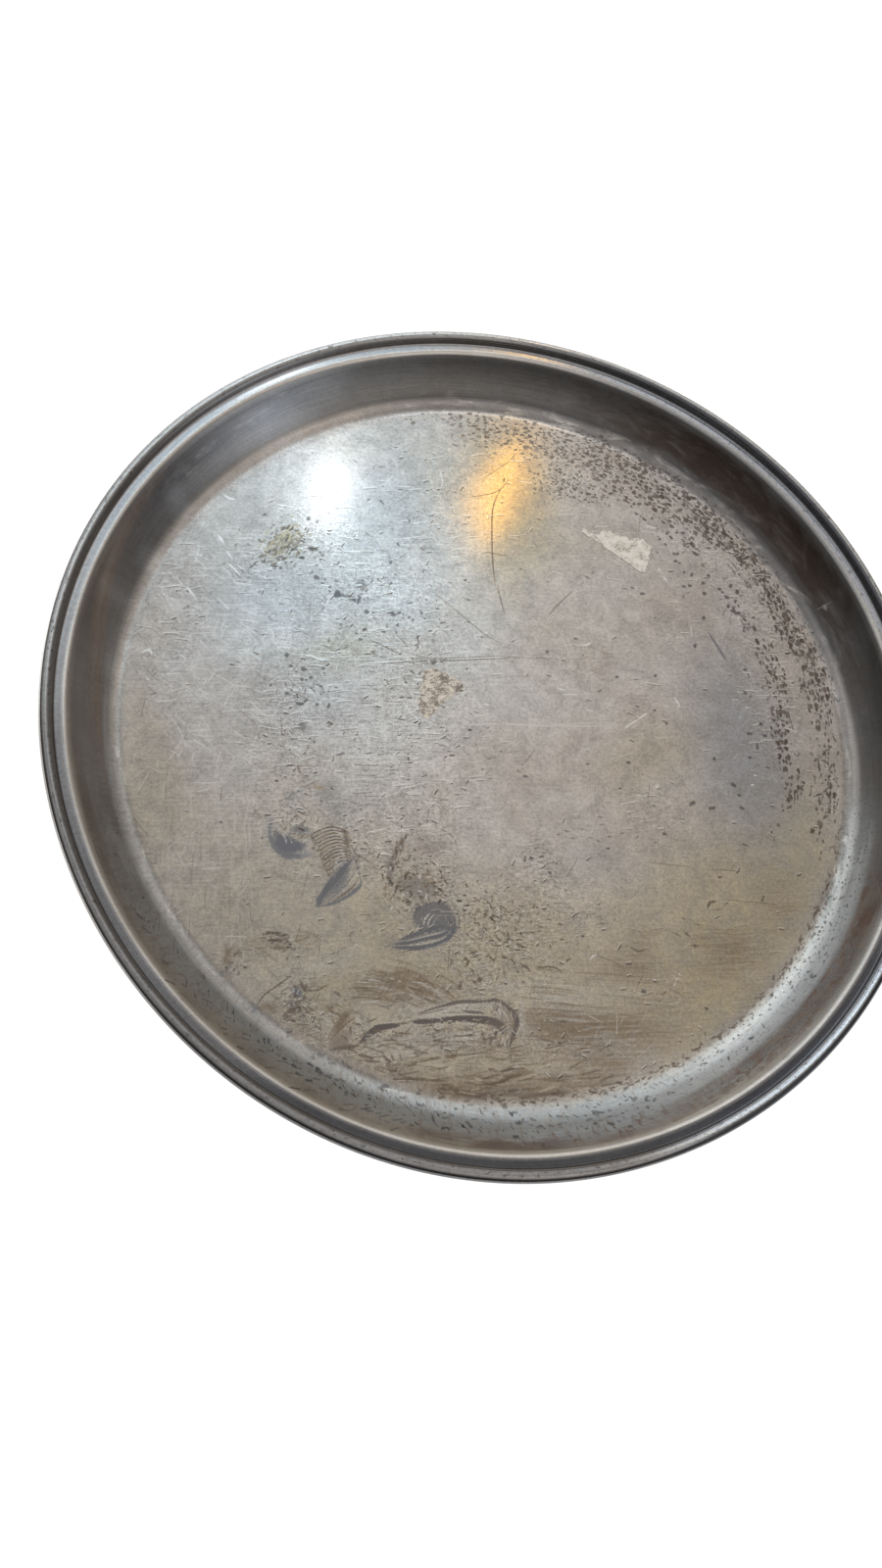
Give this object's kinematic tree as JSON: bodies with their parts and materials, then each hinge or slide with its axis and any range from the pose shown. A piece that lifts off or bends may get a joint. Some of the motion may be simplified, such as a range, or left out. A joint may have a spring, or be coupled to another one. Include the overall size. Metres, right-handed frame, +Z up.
{
  "type": "salver",
  "caption": "Round deep-walled metal salver with a flat floor, coved flaring wall, narrow ledge and wired rolled rim.",
  "frame": {"origin": "centre of the flat underside, on the plane that the tray rests on", "axes": "+Z up along the axis that the tray is turned about; +X to the right and +Y away in the picture's view"},
  "size_m": [0.3048, 0.3048, 0.0198],
  "materials": {
    "plated_sheet": "satin",
    "rim_wire": "satin",
    "label_paper": "matte",
    "label_residue": "matte"
  },
  "bodies": {
    "root": {"tray_body": "plated_sheet", "rim_wire": "rim_wire", "label_scrap_large": "label_paper", "label_scrap_small": "label_residue"}
  },
  "joints": []
}
